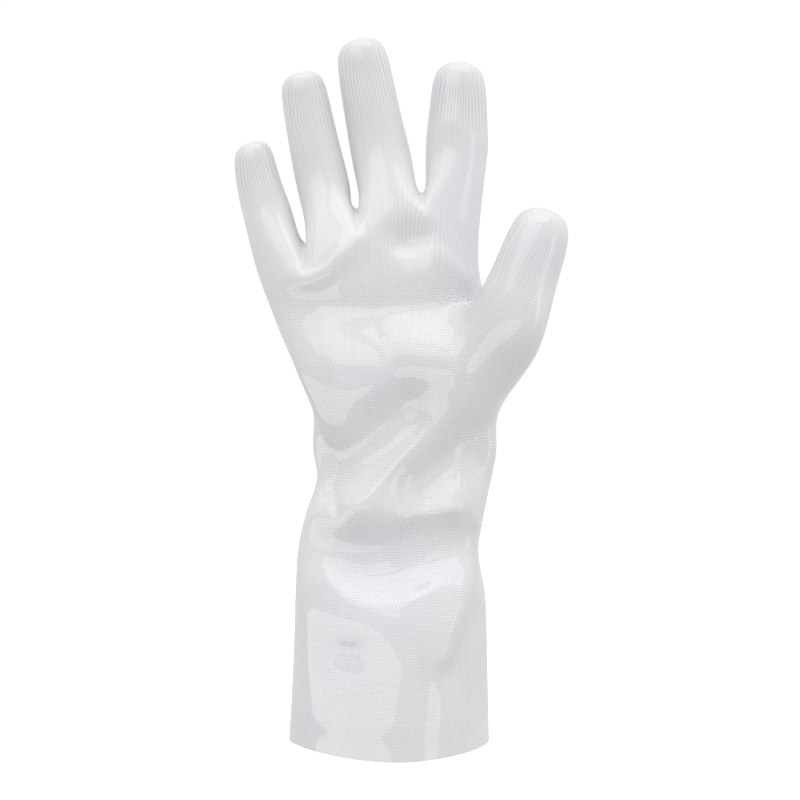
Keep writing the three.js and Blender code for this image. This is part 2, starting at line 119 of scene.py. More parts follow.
@dataclass
class Skin:
    """A surface of faces, with what is known of each of its points."""

    points: np.ndarray  # one row for each point, its place first
    corners: np.ndarray  # point at each corner, face after face
    owner: np.ndarray  # face of each corner
    on_front: np.ndarray  # whether a face counts its stitches from the front

    def following(self) -> np.ndarray:
        """Returns the corner that comes next in the same face, for each corner."""
        first = np.flatnonzero(np.diff(self.owner, prepend=-1))
        after = np.arange(1, len(self.corners) + 1)
        after[np.append(first[1:], len(self.corners)) - 1] = first
        return after

    def edges(self) -> tuple[np.ndarray, np.ndarray, np.ndarray]:
        """Lists the edges between the points.

        Returns:
            The two points of each edge, the edge that leaves each corner, and the faces on each edge.
        """
        ahead = self.corners[self.following()]
        low = np.minimum(self.corners, ahead)
        high = np.maximum(self.corners, ahead)
        keys, leaving = np.unique(low * len(self.points) + high, return_inverse=True)
        ends = np.stack([keys // len(self.points), keys % len(self.points)], axis=1)
        return ends, leaving, np.bincount(leaving)

    def rim(self) -> tuple[np.ndarray, np.ndarray]:
        """Finds the open edge of the surface.

        Returns:
            Whether each point is on it, and the sum of its two neighbours there.
        """
        ends, _, sides = self.edges()
        open_ends = ends[sides == 1]
        count = len(self.points)
        on_rim = np.bincount(open_ends.ravel(), minlength=count) > 0
        ahead = self.points[open_ends[:, ::-1].ravel()]
        return on_rim, summed(ahead, open_ends.ravel(), count)

    def subdivided(self) -> "Skin":
        """Returns the surface after one Catmull-Clark step, its rim a spline of its own."""
        count = len(self.points)
        ends, leaving, sides = self.edges()
        sizes = np.bincount(self.owner)[:, None]
        centres = summed(self.points[self.corners], self.owner, len(sizes)) / sizes
        around = centres[self.owner]
        both = self.points[ends].sum(axis=1)
        beside = summed(around, leaving, len(ends))
        halves = np.where(sides[:, None] == 1, both / 2, (both + beside) / 4)
        valence = np.bincount(self.corners, minlength=count)[:, None]
        reach = np.bincount(ends.ravel(), minlength=count)[:, None]
        in_faces = summed(around, self.corners, count) / valence
        in_edges = summed(np.repeat(both / 2, 2, axis=0), ends.ravel(), count) / reach
        moved = (in_faces + 2 * in_edges + (valence - 3) * self.points) / valence
        on_rim, neighbours = self.rim()
        moved[on_rim] = (6 * self.points + neighbours)[on_rim] / 8
        before = np.argsort(self.following())
        first_centre = count + len(ends)
        quads = [self.corners, count + leaving, first_centre + self.owner, count + leaving[before]]
        return Skin(
            points=np.concatenate([moved, halves, centres]),
            corners=np.stack(quads, axis=1).ravel(),
            owner=np.repeat(np.arange(len(self.corners)), 4),
            on_front=self.on_front[self.owner],
        )

    def at_limit(self) -> "Skin":
        """Returns the surface of quads with its points where endless steps would carry them."""
        count = len(self.points)
        ends, _, _ = self.edges()
        valence = np.bincount(self.corners, minlength=count)[:, None]
        near = summed(self.points[ends[:, ::-1].ravel()], ends.ravel(), count)
        across = np.roll(self.corners.reshape(-1, 4), -2, axis=1).ravel()
        opposite = summed(self.points[across], self.corners, count)
        moved = (valence**2 * self.points + 4 * near + opposite) / (valence * (valence + 5))
        on_rim, neighbours = self.rim()
        moved[on_rim] = (4 * self.points + neighbours)[on_rim] / 6
        return replace(self, points=moved)

    def places(self) -> np.ndarray:
        """Returns the places of the points."""
        return self.points[:, :3]

    def quads(self) -> np.ndarray:
        """Returns the four points of each face."""
        return self.corners.reshape(-1, 4)

    def normals(self) -> np.ndarray:
        """Returns the direction in which the surface faces at each point."""
        a, b, c, d = (self.places()[column] for column in self.quads().T)
        flat = np.cross(c - a, d - b)
        total = summed(np.repeat(flat, 4, axis=0), self.corners, len(self.points))
        return total / np.linalg.norm(total, axis=1, keepdims=True)


@dataclass(frozen=True)
class Section:
    """A section across the body of the glove."""

    up: float  # height, as a share of BODY_LENGTH
    width: float  # what left and right are shares of
    left: float
    right: float
    depth: float  # what front and back are shares of
    front: float
    back: float
    bend: float  # exponent of the oval
    fan: float = 0.0  # how far its columns gather under the fingers
    pad: float = 0.0  # how far the ball of the thumb pushes the front forward, as a share of the depth
    skew: float = 0.0  # how far the middle of the front stands to the right, as a share of the width


@dataclass(frozen=True)
class Finger:
    """A finger of the glove."""

    name: str
    length: float  # in millimetres
    width: float
    root: float  # where its root stands across, as a share of PALM_WIDTH
    up: float  # and up, as a share of BODY_LENGTH
    lean: float  # tilt to the right, in degrees
    bow: float  # how far its middle bends to the right, as a share of its width
    base: float  # width at its base, as a share of its width
    tip: float  # and at its tip
    curl: float = 0.1  # how far its tip leans forward, as a share of its length


@dataclass(frozen=True)
class Ring:
    """A ring of the thumb's root: its place as shares of the palm's sizes, its size and its tilt."""

    across: float
    forward: float
    up: float
    wide: float
    deep: float
    lean: float
    pitch: float


@dataclass(frozen=True)
class Station:
    """A place along a finger in millimetres, with the radius there."""

    along: float
    radius: float


SECTIONS = (
    Section(0, CUFF_WIDTH, -0.5, 0.5, CUFF_DEPTH, -0.5, 0.5, 1.6, skew=0.036),
    Section(0.135, CUFF_WIDTH, -0.48, 0.492, CUFF_DEPTH, -0.48, 0.48, 1.75, skew=0.025),
    Section(0.245, CUFF_WIDTH, -0.47, 0.485, CUFF_DEPTH, -0.44, 0.45, 1.9, skew=0.01),
    Section(0.295, WRIST_WIDTH, -0.528, 0.534, WRIST_DEPTH, -0.57, 0.57, 2, fan=0.05),
    Section(0.343, WRIST_WIDTH, -0.519, 0.51, WRIST_DEPTH, -0.53, 0.54, 2, fan=0.1),
    Section(0.391, WRIST_WIDTH, -0.494, 0.526, WRIST_DEPTH, -0.5, 0.51, 2, fan=0.2),
    Section(0.439, WRIST_WIDTH, -0.45, 0.555, WRIST_DEPTH, -0.48, 0.49, 2.05, fan=0.3, pad=0.02),
    Section(0.487, WRIST_WIDTH, -0.408, 0.583, WRIST_DEPTH, -0.46, 0.46, 2.1, fan=0.4, pad=0.05),
    Section(0.542, WRIST_WIDTH, -0.432, 0.608, WRIST_DEPTH, -0.43, 0.43, 2.15, fan=0.5, pad=0.09),
    Section(0.613, PALM_WIDTH, -0.344, 0.499, PALM_DEPTH, -0.55, 0.55, 2.2, fan=0.65, pad=0.16),
    Section(0.708, PALM_WIDTH, -0.442, 0.46, PALM_DEPTH, -0.5, 0.52, 2.25, fan=0.8, pad=0.3),
    Section(0.801, PALM_WIDTH, -0.534, 0.455, PALM_DEPTH, -0.45, 0.48, 2.35, fan=0.92, pad=0.05),
    Section(0.886, PALM_WIDTH, -0.595, 0.4, PALM_DEPTH, -0.4, 0.42, 2.5, fan=1),
)

FINGERS = (
    Finger("pinky", 49, 23, root=-0.506, up=0.926, lean=-14, bow=-0.07, base=1.06, tip=0.92),
    Finger("ring", 75, 25, root=-0.258, up=0.958, lean=-11.6, bow=-0.03, base=1.05, tip=0.93),
    Finger("middle", 80, 28, root=0.004, up=1, lean=-11.2, bow=-0.02, base=1.06, tip=0.94),
    Finger("index", 63, 30.5, root=0.292, up=1.015, lean=2, bow=0.015, base=1, tip=0.92),
)

# Crotches between neighbouring fingers: across and up, as shares of PALM_WIDTH and BODY_LENGTH
CROTCHES = ((-0.379, 0.926), (-0.147, 0.985), (0.143, 1.014))


@dataclass
class GloveForm:
    """The smooth outer form of the glove: a body with four fingers and a thumb, open at the cuff.

    Its cage has a column of points for each side of each finger on the front and on the back, and one on
    each side of the hand.
    """

    front_columns: int = 8
    finger_sides: int = 6
    thumb_sides: int = 8
    fit_rounds: int = 14
    finger_depth: float = 0.9  # depth of a finger as a share of its width
    first_ring: float = 0.2  # where a finger's first ring stands, as a share of its length
    dome: float = 1.12  # length of a fingertip's dome as a share of its radius
    dome_foot: Station = Station(along=-0.32, radius=1)  # shares of the tip's radius
    dome_top: Station = Station(along=0.74, radius=0.74)
    web_half: float = 0.016  # half the width of a web between fingers, as a share of PALM_WIDTH
    web_drop: float = 0.11  # how far the skin falls from a web to the palm
    fanned: tuple = (-0.87, -0.62, -0.5, -0.15, -0.03, 0.43, 0.55, 0.88)  # where columns gather
    left_knuckle: float = 0.872  # heights of the knuckle section at its two ends
    right_knuckle: float = 0.92
    left_rise: float = 0.4  # how far the first column climbs from the left end to the first crotch
    pad_side: float = 0.5  # how much of the thumb's pad the side column takes
    pad_reach: float = 0.8  # where across the front the pad is whole
    thumb_rows: tuple = (9, 10, 11)  # rows and columns of the body round the thumb's opening
    thumb_columns: tuple = (7, 8, 9)
    thumb_heel: tuple = (0.578, 0.25)  # outer edge of the thumb's opening: across and forward
    thumb_length: float = 62
    thumb_width: float = 32
    thumb_root: tuple = (
        Ring(0.506, -0.69, 0.762, 1.12, 1, lean=26, pitch=42),
        Ring(0.568, -0.76, 0.832, 1, 0.93, lean=20, pitch=16),
    )
    thumb_free: float = 0.59  # share of the thumb's length above its root
    thumb_lean: float = 19
    thumb_pitch: float = 6
    thumb_curl: float = 0.1
    thumb_tip: float = 0.93
    mid_front: float = 2  # where the middle column of stitches stands across, in millimetres
    cuff_shown: float = 1.5  # how clearly the stitches show on the cuff
    palm_shown: float = 1.25
    knuckle_shown: float = 0.5
    web_shown: float = 0.1
    cuff_ends: float = 0.38  # share of BODY_LENGTH
    tip_shown: tuple = (0.15, 0.6, 1.4, 0.1)  # how clearly they show on the rings of a finger
    thumb_shown: tuple = (1.1, 1, 0.8, 0.2)
    thumb_straightens: tuple = (0.5, 1, 1, 1)  # how far the stitches of each ring follow the thumb
    # How far round the points of a ring stand from the middle of the front and from that of the back
    finger_turns: tuple = ((-3, -1, 1, 3, 5, -5), (-3, -5, 5, 3, 1, -1))  # in twelfths of a turn
    thumb_turns: tuple = ((-2, -1, 0, 1, 2, 3, 4, -3), (-6, -7, 0, -1, -2, -3, -4, -5))  # in eighths
    points: list = field(default_factory=list)
    faces: list = field(default_factory=list)
    fronts: list = field(default_factory=list)

    @property
    def columns(self) -> int:
        """Number of columns round the body."""
        return 2 * self.front_columns + 2

    @property
    def knuckle(self) -> int:
        """Row of the cage from which the fingers start."""
        return len(SECTIONS) - 1

    def add_point(self, place: np.ndarray, front: float, back: float, up: float, shown: float) -> int:
        """Adds a point to the cage.

        Args:
            place: Where it is.
            front: How far round it is from the middle of the front.
            back: How far round it is from the middle of the back.
            up: How far up the knit it is.
            shown: How clearly the stitches show there.

        Returns:
            Its number.
        """
        self.points.append([*place, front, back, up, shown])
        return len(self.points) - 1

    def add_face(self, corners: list[int], on_front: bool) -> None:
        """Adds a face to the cage, from the numbers of its points.

        Args:
            corners: Points in turn, counter-clockwise from outside.
            on_front: Whether its stitches are counted from the front.
        """
        self.faces.append(corners)
        self.fronts.append(on_front)

    def knuckle_height(self, index: int) -> float:
        """Works out how high a front column stands on the knuckle section.

        Args:
            index: Which of the front columns.

        Returns:
            Its height, below the crotch between two fingers.
        """
        under = [up * BODY_LENGTH - self.web_drop * PALM_WIDTH for _, up in CROTCHES]
        if index == 0:
            end = self.left_knuckle * BODY_LENGTH
            return end + self.left_rise * (under[0] - end)
        if index == self.front_columns - 1:
            return self.right_knuckle * BODY_LENGTH
        return under[(index - 1) // 2]

    def body_place(self, row: int, column: int) -> np.ndarray:
        """Works out a point of the body: column 0 is the left side, then front, right side and back.

        Args:
            row: Which section.
            column: Which column.

        Returns:
            Its place.
        """
        section = SECTIONS[row]
        middle = 0.5 * (section.left + section.right) * section.width
        half = 0.5 * (section.right - section.left) * section.width
        at_knuckle = row == self.knuckle
        if row == self.thumb_rows[1] and column == self.thumb_columns[2]:
            across, forward = self.thumb_heel
            return np.array([across * PALM_WIDTH, -forward * PALM_DEPTH, section.up * BODY_LENGTH])
        if column in (0, self.front_columns + 1):
            turn = -1 if column == 0 else 1
            end = self.left_knuckle if turn < 0 else self.right_knuckle
            forward = self.pad_side * section.pad * section.depth if turn > 0 else 0
            height = (end if at_knuckle else section.up) * BODY_LENGTH
            return np.array([middle + turn * half, -forward, height])
        on_front = column <= self.front_columns
        index = column - 1 if on_front else self.columns - 1 - column
        even = -math.cos(math.pi * (index + 1) / (self.front_columns + 1))
        across = even + section.fan * (self.fanned[index] - even)
        reach = max(0.0, 1 - abs(across) ** section.bend) ** (1 / section.bend)
        pad = section.pad * float(smoothstep(across, 0, self.pad_reach)) if on_front else 0
        y = ((section.front if on_front else section.back) * reach - pad) * section.depth
        x = middle + half * across + (section.skew * reach * section.width if on_front else 0)
        z = self.knuckle_height(index) if at_knuckle else section.up * BODY_LENGTH
        return np.array([x, y, z])

    def rounds(self, places: list[np.ndarray]) -> tuple[np.ndarray, np.ndarray]:
        """Measures round a section from the middle of its front and from the middle of its back.

        Args:
            places: The points of the section, from its left side over the front.

        Returns:
            How far each point is from either, to the right.
        """
        flat = np.array(places)[:, :2]
        steps = np.linalg.norm(np.roll(flat, -1, axis=0) - flat, axis=1)
        along = np.concatenate([[0], np.cumsum(steps)[:-1]])
        last = self.front_columns
        front_middle = np.interp(self.mid_front, flat[1 : last + 1, 0], along[1 : last + 1])
        back_x = flat[last + 2 :, 0][::-1]
        back_middle = np.interp(self.mid_front, back_x, along[last + 2 :][::-1])
        column = np.arange(self.columns)
        turned_back = column > last + last // 2 + 1
        turned_front = column <= last // 2
        front = along - front_middle - np.where(turned_back, steps.sum(), 0)
        back = back_middle - along - np.where(turned_front, steps.sum(), 0)
        return front, back

    def ring_places(
        self, sides: int, centre: Vector, half: tuple, lean: float, pitch: float
    ) -> list[np.ndarray]:
        """Works out a ring round a finger, counter-clockwise from its left as seen from its tip.

        Args:
            sides: Number of points.
            centre: Middle of the ring.
            half: Half its width and half its depth.
            lean: Tilt to the right, in degrees.
            pitch: How far its front is turned down, in degrees.

        Returns:
            The places of its points.
        """
        tilt, turn = math.radians(lean), math.radians(pitch)
        right = np.array([math.cos(tilt), 0, -math.sin(tilt)])
        back = np.array([0, math.cos(turn), math.sin(turn)])
        angles = [math.pi + 2 * math.pi * index / sides for index in range(sides)]
        return [
            np.array(centre) + right * half[0] * math.cos(angle) + back * half[1] * math.sin(angle)
            for angle in angles
        ]

    def dome_stations(self, length: float, radius: float) -> list[Station]:
        """Works out where the last two rings of a finger stand.

        Args:
            length: Length of the finger.
            radius: Radius of its tip.

        Returns:
            The ring below the dome and the ring on it.
        """
        straight = length - self.dome * radius
        return [
            Station(straight + share.along * radius, share.radius * radius)
            for share in (self.dome_foot, self.dome_top)
        ]

    def add_tube(self, loop: list[int], rings: list[list[int]], front_sides: int) -> None:
        """Joins a loop of points to the rings that follow it, and closes the last one.

        Args:
            loop: Points round the root.
            rings: Points of each ring, in the same order.
            front_sides: How many of its sides face forward.
        """
        for below, above in zip([loop, *rings], rings):
            for k, corner in enumerate(above):
                ahead = (k + 1) % len(above)
                self.add_face([below[k], below[ahead], above[ahead], corner], k < front_sides)
        self.add_face(rings[-1], True)

    def add_finger(self, finger: Finger, loop: list[int]) -> None:
        """Adds a finger on its loop of points: left, two in front, right and two behind.

        Args:
            finger: Which finger.
            loop: The loop at its root.
        """
        first = Station(self.first_ring * finger.length, 0.5 * finger.width * finger.base)
        dome = self.dome_stations(finger.length, 0.5 * finger.width * finger.tip)
        half_way = Station(0.5 * (first.along + dome[0].along), 0.5 * finger.width)
        front = np.mean([self.points[loop[k]][Side.FRONT.value] for k in (1, 2)])
        back = np.mean([self.points[loop[k]][Side.BACK.value] for k in (4, 5)])
        arc = finger.width * math.pi / (2 * self.finger_sides)
        rings = []
        for station, shown in zip([first, half_way, *dome], self.tip_shown):
            share = station.along / finger.length
            lean = math.radians(finger.lean)
            bow = 4 * finger.bow * finger.width * share * (1 - share)
            across = finger.root * PALM_WIDTH + station.along * math.sin(lean) + bow
            forward = finger.curl * finger.length * share * share
            centre = Vector((across, -forward, finger.up * BODY_LENGTH + station.along * math.cos(lean)))
            half = (station.radius, station.radius * self.finger_depth)
            places = self.ring_places(self.finger_sides, centre, half, finger.lean, 0)
            up = finger.up * BODY_LENGTH + station.along
            ring = [
                self.add_point(place, front + ahead * arc, back + behind * arc, up, shown)
                for place, ahead, behind in zip(places, *self.finger_turns)
            ]
            rings.append(ring)
        self.add_tube(loop, rings, self.finger_sides // 2)

    def thumb_rings(self) -> list[list[np.ndarray]]:
        """Works out the rings of the thumb: two tilted ones at its root, then as on a finger.

        Returns:
            The places of the points of each ring.
        """
        places = []
        for ring in self.thumb_root:
            centre = (ring.across * PALM_WIDTH, ring.forward * PALM_DEPTH, ring.up * BODY_LENGTH)
            half = (0.5 * ring.wide * self.thumb_width, 0.5 * ring.deep * self.thumb_width)
            places.append(self.ring_places(self.thumb_sides, Vector(centre), half, ring.lean, ring.pitch))
        tilt = math.radians(self.thumb_lean)
        direction = Vector((math.sin(tilt), -self.thumb_curl, math.cos(tilt)))
        tip_radius = 0.5 * self.thumb_tip * self.thumb_width
        for station in self.dome_stations(self.thumb_free * self.thumb_length, tip_radius):
            middle = Vector(centre) + direction * station.along
            half = (station.radius, station.radius * self.finger_depth)
            places.append(
                self.ring_places(self.thumb_sides, middle, half, self.thumb_lean, self.thumb_pitch)
            )
        return places

    def add_thumb(self, loop: list[int]) -> None:
        """Adds the thumb on its loop of points, whose stitches turn to follow it.

        Args:
            loop: The loop at its root, from its left over the front.
        """
        known = np.array([self.points[point] for point in loop])
        arc = self.thumb_width * math.pi / self.thumb_sides
        front = known[2, Side.FRONT.value]
        back = known[4, Side.BACK.value] + 2 * arc
        up = known[:, UP_KNIT].copy()
        level = up.mean()
        below = known[:, :3]
        rings = []
        for places, straight, shown in zip(self.thumb_rings(), self.thumb_straightens, self.thumb_shown):
            steps = np.linalg.norm(np.array(places) - below, axis=1)
            level += steps.mean()
            up = (up + steps) * (1 - straight) + level * straight
            below = np.array(places)
            ring = [
                self.add_point(place, front + ahead * arc, back + behind * arc, height, shown)
                for place, height, ahead, behind in zip(places, up, *self.thumb_turns)
            ]
            rings.append(ring)
        self.add_tube(loop, rings, self.thumb_sides // 2)

    def add_body(self) -> list[list[int]]:
        """Adds the body, from the rim of the cuff to the knuckles, with an opening for the thumb.

        Returns:
            The numbers of its points, row by row.
        """
        body = []
        hole = (self.thumb_rows[1], self.thumb_columns[1])
        missing = -1
        for row in range(len(SECTIONS)):
            places = [self.body_place(row, column) for column in range(self.columns)]
            fronts, backs = self.rounds(places)
            shown = self.cuff_shown if SECTIONS[row].up < self.cuff_ends else self.palm_shown
            if row == self.knuckle:
                shown = self.knuckle_shown
            numbers = [
                missing if (row, column) == hole else self.add_point(place, front, back, place[2], shown)
                for column, (place, front, back) in enumerate(zip(places, fronts, backs))
            ]
            body.append(numbers)
        for row in range(self.knuckle):
            for column in range(self.columns):
                ahead = (column + 1) % self.columns
                low, high = body[row], body[row + 1]
                corners = [low[column], low[ahead], high[ahead], high[column]]
                if missing not in corners:
                    self.add_face(corners, column <= self.front_columns)
        return body

    def add_webs(self, knuckle: list[int]) -> list[list[int]]:
        """Adds the two points of the web between each pair of fingers.

        Args:
            knuckle: The points of the knuckle section.

        Returns:
            The numbers of the left and right point of each web.
        """
        webs = []
        for i, (across, up) in enumerate(CROTCHES):
            pair = []
            for turn, finger, column in ((-1, i, 2 + 2 * i), (1, i + 1, 3 + 2 * i)):
                place = np.array([(across + turn * self.web_half) * PALM_WIDTH, 0, up * BODY_LENGTH])
                under = self.points[knuckle[column]]
                behind = self.points[knuckle[self.columns - column]]
                arc = -turn * FINGERS[finger].width * math.pi / (2 * self.finger_sides)
                climb = under[UP_KNIT] + float(np.linalg.norm(place - under[:3]))
                front = under[Side.FRONT.value] + arc
                back = behind[Side.BACK.value] + arc
                pair.append(self.add_point(place, front, back, climb, self.web_shown))
            webs.append(pair)
        return webs

    def build(self) -> Skin:
        """Builds the cage and fits it, so that the smooth surface passes through its points.

        Returns:
            The fitted cage.
        """
        body = self.add_body()
        knuckle = body[self.knuckle]
        webs = self.add_webs(knuckle)
        count = len(FINGERS)
        for i, finger in enumerate(FINGERS):
            left = knuckle[0] if i == 0 else webs[i - 1][1]
            right = knuckle[self.front_columns + 1] if i == count - 1 else webs[i][0]
            front = [knuckle[1 + 2 * i], knuckle[2 + 2 * i]]
            back = [knuckle[self.columns - 2 - 2 * i], knuckle[self.columns - 1 - 2 * i]]
            self.add_finger(finger, [left, *front, right, *back])
            if i < count - 1:
                web = webs[i]
                self.add_face([front[1], knuckle[3 + 2 * i], web[1], web[0]], True)
                self.add_face([web[0], web[1], knuckle[self.columns - 3 - 2 * i], back[0]], False)
        low, mid, high = ([body[row][column] for column in self.thumb_columns] for row in self.thumb_rows)
        self.add_thumb([mid[0], *low, mid[2], *high[::-1]])
        cage = Skin(
            points=np.array(self.points, dtype=float),
            corners=np.array([corner for face in self.faces for corner in face]),
            owner=np.repeat(np.arange(len(self.faces)), [len(face) for face in self.faces]),
            on_front=np.array(self.fronts),
        )
        control = cage
        for _ in range(self.fit_rounds):
            reached = control.subdivided().at_limit().points[: len(cage.points)]
            control = replace(control, points=control.points + cage.points - reached)
        return control


@dataclass(frozen=True)
class Fold:
    """A fold or dent in the front of the glove."""

    name: str
    lift: float  # height in millimetres, below 0 for a valley
    left: float  # width on the left of its line, as the path runs, in millimetres
    right: float
    path: tuple  # points of its line, across and up, as shares of WRIST_WIDTH and BODY_LENGTH
    crest: float = 3.0  # how round its top is, in millimetres
    ends: float = 0.2  # how much of its length fades at each end
    power: float = 1.0  # how rounded its sides are: 1 for a crisp line, 2 for a soft roll


FOLDS = (
    Fold("wrist_valley", -10, 13, 21, ends=0.25, power=2, path=(
        (-0.453, 0.353), (-0.26, 0.345), (-0.018, 0.353), (0.127, 0.366), (0.256, 0.378), (0.358, 0.392),
    )),
    Fold("smile", 3.6, 8, 35, crest=0.8, ends=0.15, path=(
        (-0.459, 0.352), (-0.378, 0.31), (-0.254, 0.28), (-0.12, 0.268), (0.009, 0.266), (0.127, 0.275),
        (0.245, 0.294), (0.342, 0.326), (0.428, 0.367),
    )),
    Fold("heel_valley", -8.5, 11, 14, ends=0.15, power=2, path=(
        (-0.442, 0.517), (-0.26, 0.516), (-0.142, 0.533), (-0.056, 0.554), (0.02, 0.577), (0.105, 0.603),
        (0.17, 0.629),
    )),
    Fold("thenar_edge", 4.2, 10, 7, crest=0.5, ends=0.15, path=(
        (0.202, 0.653), (0.229, 0.622), (0.234, 0.594), (0.186, 0.561), (0.062, 0.521), (-0.045, 0.481),
        (-0.115, 0.451), (-0.206, 0.432), (-0.26, 0.406),
    )),
    Fold("thumb_valley", -11, 12.5, 11, ends=0.3, power=2, path=(
        (0.6, 0.566), (0.46, 0.538), (0.331, 0.514), (0.213, 0.482), (0.105, 0.455), (0.009, 0.434),
    )),
    Fold("wrist_crest", 5, 13, 6, crest=2, ends=0.25, path=(
        (-0.023, 0.42), (0.116, 0.421), (0.256, 0.427), (0.363, 0.434), (0.439, 0.455),
    )),
    Fold("right_side", 3.6, 7, 8, crest=0.5, ends=0.15, path=(
        (0.417, 0.451), (0.455, 0.428), (0.465, 0.399), (0.455, 0.369), (0.428, 0.338), (0.39, 0.305),
        (0.347, 0.264), (0.304, 0.224), (0.261, 0.181), (0.224, 0.13),
    )),
    Fold("right_second", 1.6, 3, 3, crest=0.6, path=(
        (0.46, 0.343), (0.428, 0.305), (0.379, 0.252), (0.32, 0.198), (0.267, 0.137),
    )),
    Fold("left_crease", -2.4, 2.5, 4, crest=0.8, path=(
        (-0.38, 0.481), (-0.335, 0.455), (-0.292, 0.439), (-0.3, 0.414),
    )),
    Fold("left_bulge", 2, 7, 7, power=2, path=(
        (-0.42, 0.45), (-0.43, 0.42),
    )),
    Fold("right_valley", -2, 5, 4, path=(
        (0.5, 0.27), (0.4, 0.2), (0.3, 0.13),
    )),
    Fold("heel_nick", 0.7, 2, 3, crest=0.8, path=(
        (0.05, 0.586), (-0.09, 0.549),
    )),
    Fold("heel_bump", 1.4, 2.5, 2.5, crest=1, ends=0.01, path=(
        (0.115, 0.604), (0.13, 0.6),
    )),
    Fold("cuff_dent", -4.4, 9, 9, crest=0.3, ends=0.01, path=(
        (-0.26, 0.185), (-0.18, 0.185),
    )),
    Fold("palm_dimple", -5, 7, 8, ends=0.3, power=2, path=(
        (0.04, 0.904), (0.129, 0.911), (0.217, 0.908),
    )),
    Fold("under_pinky", 2.6, 4, 5, crest=1, ends=0.25, power=2, path=(
        (-0.576, 0.847), (-0.51, 0.842), (-0.411, 0.847), (-0.323, 0.861), (-0.279, 0.883),
        (-0.279, 0.901),
    )),
    Fold("under_ring", 2.6, 4, 5, crest=1, ends=0.3, power=1.5, path=(
        (-0.279, 0.886), (-0.213, 0.899), (-0.169, 0.917), (-0.136, 0.926),
    )),
    Fold("index_side", 3, 5, 8, crest=2, ends=0.3, path=(
        (0.195, 0.911), (0.283, 0.883), (0.371, 0.854), (0.492, 0.822),
    )),
    Fold("heel", 5, 22, 20, ends=0.2, power=2, path=(
        (-0.532, 0.654), (-0.323, 0.665), (-0.103, 0.668), (0.074, 0.679), (0.239, 0.697),
    )),
    Fold("palm_crease", -2.4, 6, 14, crest=2, ends=0.25, path=(
        (-0.565, 0.804), (-0.323, 0.795), (0.024, 0.788), (0.184, 0.794), (0.376, 0.799), (0.525, 0.804),
    )),
    Fold("dimple_ridge", 2.2, 4, 5, crest=1, ends=0.3, path=(
        (-0.081, 0.919), (0.007, 0.885), (0.129, 0.878), (0.239, 0.894), (0.327, 0.922),
    )),
    Fold("index_root", 1.4, 4, 5, crest=1.5, ends=0.3, path=(
        (0.195, 0.974), (0.239, 0.94), (0.305, 0.904),
    )),
)


@dataclass
class FoldPress:
    """Presses the folds into the front of the glove's surface."""

    folds: tuple = FOLDS
    free: float = 0.02  # share of BODY_LENGTH above the rim that no fold reaches
    begins: float = 0.2  # how far a point faces forward where folds begin
    whole: float = 0.7  # and where they are whole
    rounding: int = 3  # how often the corners of a path are cut
    cut: float = 0.25  # share of a side that is cut off at each end
    nearest: float = 1e-6  # least distance from a line that its side is worked out at, in millimetres
    softening: int = 2  # how often each point's lift is evened out with its neighbours'

    def rounded(self, path: tuple) -> np.ndarray:
        """Cuts the corners of a path again and again.

        Args:
            path: Points of the path, as shares.

        Returns:
            Points of a smooth line, in millimetres.
        """
        line = np.array(path) * (WRIST_WIDTH, BODY_LENGTH)
        for _ in range(self.rounding):
            starts, ends, rest = line[:-1], line[1:], 1 - self.cut
            inner = [rest * starts + self.cut * ends, self.cut * starts + rest * ends]
            line = np.concatenate([line[:1], np.stack(inner, axis=1).reshape(-1, 2), line[-1:]])
        return line

    def lift(self, fold: Fold, flat: np.ndarray) -> np.ndarray:
        """Works out how far a fold lifts each point.

        Args:
            fold: Which fold.
            flat: Where the points are, across and up, in millimetres.

        Returns:
            The lift of each, in millimetres.
        """
        line = self.rounded(fold.path)
        steps = np.diff(line, axis=0)
        lengths = np.linalg.norm(steps, axis=1)
        total = lengths.sum()
        shape = np.zeros(len(flat))
        begun = 0.0
        for start, step, length in zip(line, steps, lengths):
            away = flat - start
            share = np.clip(away @ step / length**2, 0, 1)
            gap = away - share[:, None] * step
            distance = np.linalg.norm(gap, axis=1)
            turned = step[0] * away[:, 1] - step[1] * away[:, 0]
            turn = turned / (length * np.maximum(distance, self.nearest))
            width = fold.right + (fold.left - fold.right) * smoothstep(turn, -1, 1)
            rise = (np.maximum(np.hypot(distance, fold.crest) - fold.crest, 0) / width) ** fold.power
            along = (begun + share * length) / total
            fade = smoothstep(along, 0, fold.ends) * smoothstep(1 - along, 0, fold.ends)
            shape = np.maximum(shape, np.exp(-rise) * fade)
            begun += length
        return fold.lift * shape

    def softened(self, skin: Skin, amount: np.ndarray) -> np.ndarray:
        """Evens out the lift of each point with its neighbours'.

        Args:
            skin: The surface.
            amount: Lift of each point.

        Returns:
            The softened lift.
        """
        ends, _, _ = skin.edges()
        near = np.bincount(ends.ravel(), minlength=len(amount))
        for _ in range(self.softening):
            total = np.bincount(ends.ravel(), weights=amount[ends[:, ::-1].ravel()], minlength=len(amount))
            amount = 0.5 * amount + 0.5 * total / near
        return amount

    def press(self, skin: Skin) -> Skin:
        """Presses every fold into a surface. The rim stays where it is.

        Args:
            skin: The smooth surface.

        Returns:
            The surface with its folds.
        """
        normals = skin.normals()
        places = skin.places()
        facing = smoothstep(-normals[:, 1], self.begins, self.whole)
        above_rim = smoothstep(places[:, 2] / BODY_LENGTH, self.free, 3 * self.free)
        amount = np.zeros(len(places))
        touched = facing * above_rim > 0
        for fold in self.folds:
            amount[touched] += self.lift(fold, places[touched][:, [0, 2]])
        lift = self.softened(skin, facing * above_rim * amount)
        pressed = skin.points.copy()
        pressed[:, :3] += normals * lift[:, None]
        return replace(skin, points=pressed)


